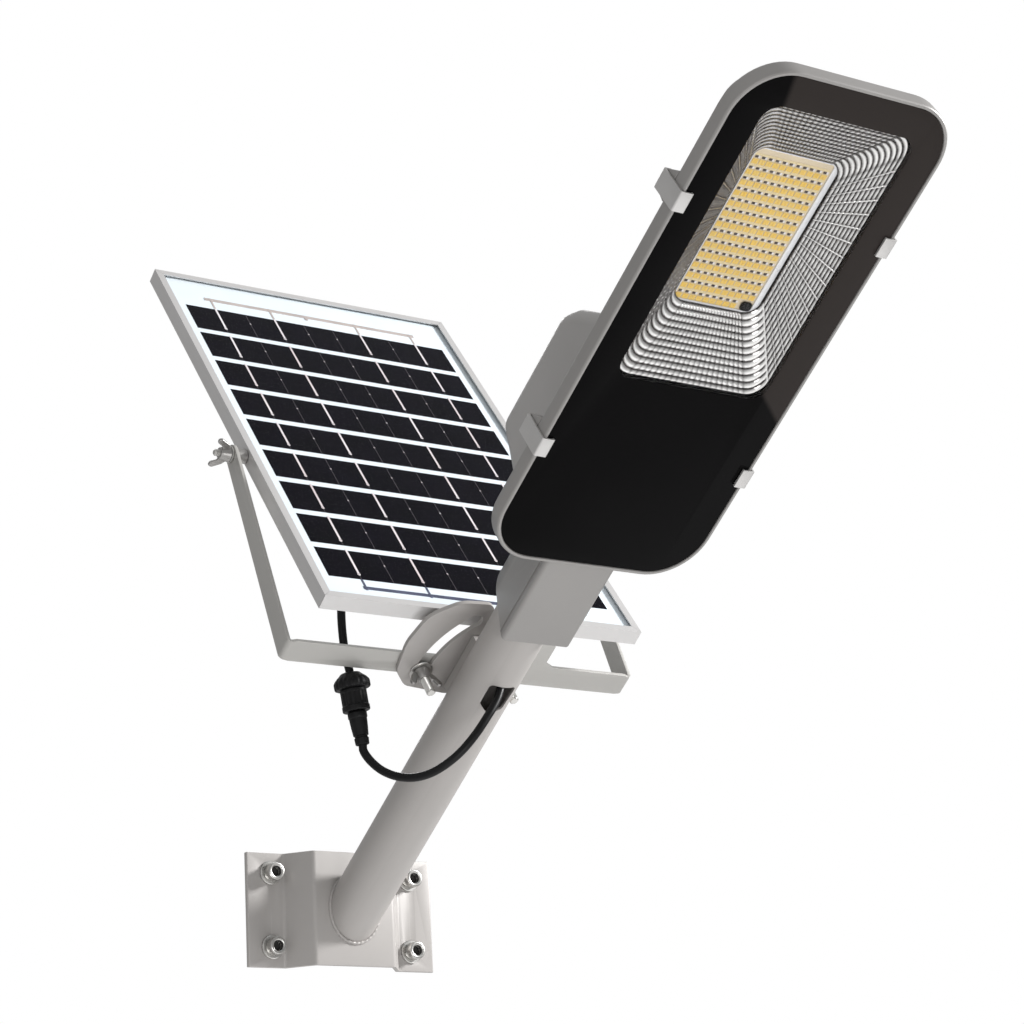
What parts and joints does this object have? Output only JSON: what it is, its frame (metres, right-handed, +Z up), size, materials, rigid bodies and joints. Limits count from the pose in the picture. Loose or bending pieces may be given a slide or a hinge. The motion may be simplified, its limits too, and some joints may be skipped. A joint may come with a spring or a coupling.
{
  "type": "solar street lamp",
  "caption": "Wall-mounted solar street lamp: rounded light head on a slanted tube arm, with a framed solar panel on a clamping U-shaped yoke that swivels and tilts.",
  "frame": {"origin": "middle of the wall bracket's back plane, where it meets the wall", "axes": "+Y into the wall, -Y outward, +Z up, +X to the right of someone who faces the wall"},
  "size_m": [0.3824, 0.8342, 0.6612],
  "materials": {
    "arm_tube": "light grey powder coat",
    "battery_cover": "grey powder-coated aluminium casting",
    "battery_pack": "blue heat-shrink wrap",
    "cell_sheet": "dark blue silicon cells",
    "connector_nut": "black",
    "connector_plug": "black",
    "connector_socket": "black",
    "control_board": "green circuit board",
    "cover_screw_1": "zinc-plated steel",
    "cover_screw_2": "zinc-plated steel",
    "cover_screw_3": "zinc-plated steel",
    "cover_screw_4": "zinc-plated steel",
    "frame_rail_bottom": "pale anodised",
    "frame_rail_left": "pale anodised",
    "frame_rail_right": "pale anodised",
    "frame_rail_top": "pale anodised",
    "front_glass": "black back-printed glass with a clear window",
    "glass_clip_1": "pale anodised",
    "glass_clip_2": "pale anodised",
    "glass_clip_3": "pale anodised",
    "glass_clip_4": "pale anodised",
    "glass_gasket": "black",
    "junction_box": "black",
    "junction_lid": "black",
    "lamp_housing": "grey powder-coated aluminium casting",
    "lamp_lead": "black",
    "lead_gland": "black",
    "led_board": "cream circuit board with yellow light chips",
    "light_sensor": "black",
    "panel_glass": "clear low-iron glass",
    "panel_lead": "black",
    "pivot_bolt": "zinc-plated steel",
    "pivot_nut": "zinc-plated steel",
    "pivot_washer": "zinc-plated steel",
    "plate_spacer": "light grey powder coat",
    "reflector": "bright metallised plastic",
    "sector_plate": "light grey powder coat",
    "side_bolt_left": "zinc-plated steel",
    "side_bolt_right": "zinc-plated steel",
    "side_spacer_left": "black",
    "side_spacer_right": "black",
    "side_washer_left": "zinc-plated steel",
    "side_washer_right": "zinc-plated steel",
    "side_wing_nut_left": "dark plated steel",
    "side_wing_nut_right": "dark plated steel",
    "slot_bolt": "zinc-plated steel",
    "slot_washer": "zinc-plated steel",
    "slot_wing_nut": "dark plated steel",
    "socket_screw_1": "dark plated steel",
    "socket_screw_2": "dark plated steel",
    "wall_bolt_1": "zinc-plated steel",
    "wall_bolt_2": "zinc-plated steel",
    "wall_bolt_3": "zinc-plated steel",
    "wall_bolt_4": "zinc-plated steel",
    "wall_bracket": "light grey powder coat",
    "wall_washer_1": "zinc-plated steel",
    "wall_washer_2": "zinc-plated steel",
    "wall_washer_3": "zinc-plated steel",
    "wall_washer_4": "zinc-plated steel",
    "yoke_strap": "light grey powder coat"
  },
  "bodies": {
    "lamp": {"arm_tube": "arm_tube", "battery_cover": "battery_cover", "battery_pack": "battery_pack", "control_board": "control_board", "cover_screw_1": "cover_screw_1", "cover_screw_2": "cover_screw_2", "cover_screw_3": "cover_screw_3", "cover_screw_4": "cover_screw_4", "front_glass": "front_glass", "glass_clip_1": "glass_clip_1", "glass_clip_2": "glass_clip_2", "glass_clip_3": "glass_clip_3", "glass_clip_4": "glass_clip_4", "glass_gasket": "glass_gasket", "lamp_housing": "lamp_housing", "lamp_lead": "lamp_lead", "led_board": "led_board", "light_sensor": "light_sensor", "pivot_bolt": "pivot_bolt", "pivot_nut": "pivot_nut", "pivot_washer": "pivot_washer", "plate_spacer": "plate_spacer", "reflector": "reflector", "sector_plate": "sector_plate", "socket_screw_1": "socket_screw_1", "socket_screw_2": "socket_screw_2", "wall_bolt_1": "wall_bolt_1", "wall_bolt_2": "wall_bolt_2", "wall_bolt_3": "wall_bolt_3", "wall_bolt_4": "wall_bolt_4", "wall_bracket": "wall_bracket", "wall_washer_1": "wall_washer_1", "wall_washer_2": "wall_washer_2", "wall_washer_3": "wall_washer_3", "wall_washer_4": "wall_washer_4"},
    "yoke": {"yoke_strap": "yoke_strap", "slot_bolt": "slot_bolt", "slot_washer": "slot_washer", "side_spacer_left": "side_spacer_left", "side_spacer_right": "side_spacer_right", "side_washer_left": "side_washer_left", "side_washer_right": "side_washer_right", "connector_nut": "connector_nut", "connector_socket": "connector_socket", "connector_plug": "connector_plug", "panel_lead": "panel_lead"},
    "panel": {"frame_rail_bottom": "frame_rail_bottom", "frame_rail_left": "frame_rail_left", "frame_rail_right": "frame_rail_right", "frame_rail_top": "frame_rail_top", "cell_sheet": "cell_sheet", "panel_glass": "panel_glass", "junction_box": "junction_box", "junction_lid": "junction_lid", "lead_gland": "lead_gland", "side_bolt_left": "side_bolt_left", "side_bolt_right": "side_bolt_right"},
    "slot_nut": {"slot_wing_nut": "slot_wing_nut"},
    "side_nut_left": {"side_wing_nut_left": "side_wing_nut_left"},
    "side_nut_right": {"side_wing_nut_right": "side_wing_nut_right"}
  },
  "joints": [
    {"name": "yoke_swivel", "type": "hinge", "parent": "lamp", "child": "yoke", "pos_m": [0.042, -0.24106, 0.14371], "axis": [0, -0.5592, -0.829], "range_deg": [-22, 0], "deforming": ["lamp_lead"]},
    {"name": "panel_tilt", "type": "hinge", "parent": "yoke", "child": "panel", "pos_m": [0, -0.1394, 0.37151], "axis": [1, 0, 0], "range_deg": [-50, 8], "deforming": ["panel_lead"]},
    {"name": "slot_nut_turn", "type": "hinge", "parent": "yoke", "child": "slot_nut", "pos_m": [-0.042, -0.22708, 0.16444], "axis": [0, -0.5592, -0.829], "continuous": true},
    {"name": "side_nut_left_turn", "type": "hinge", "parent": "yoke", "child": "side_nut_left", "pos_m": [-0.183, -0.1394, 0.37151], "axis": [-1, 0, 0], "continuous": true},
    {"name": "side_nut_right_turn", "type": "hinge", "parent": "yoke", "child": "side_nut_right", "pos_m": [0.183, -0.1394, 0.37151], "axis": [1, 0, 0], "continuous": true}
  ]
}
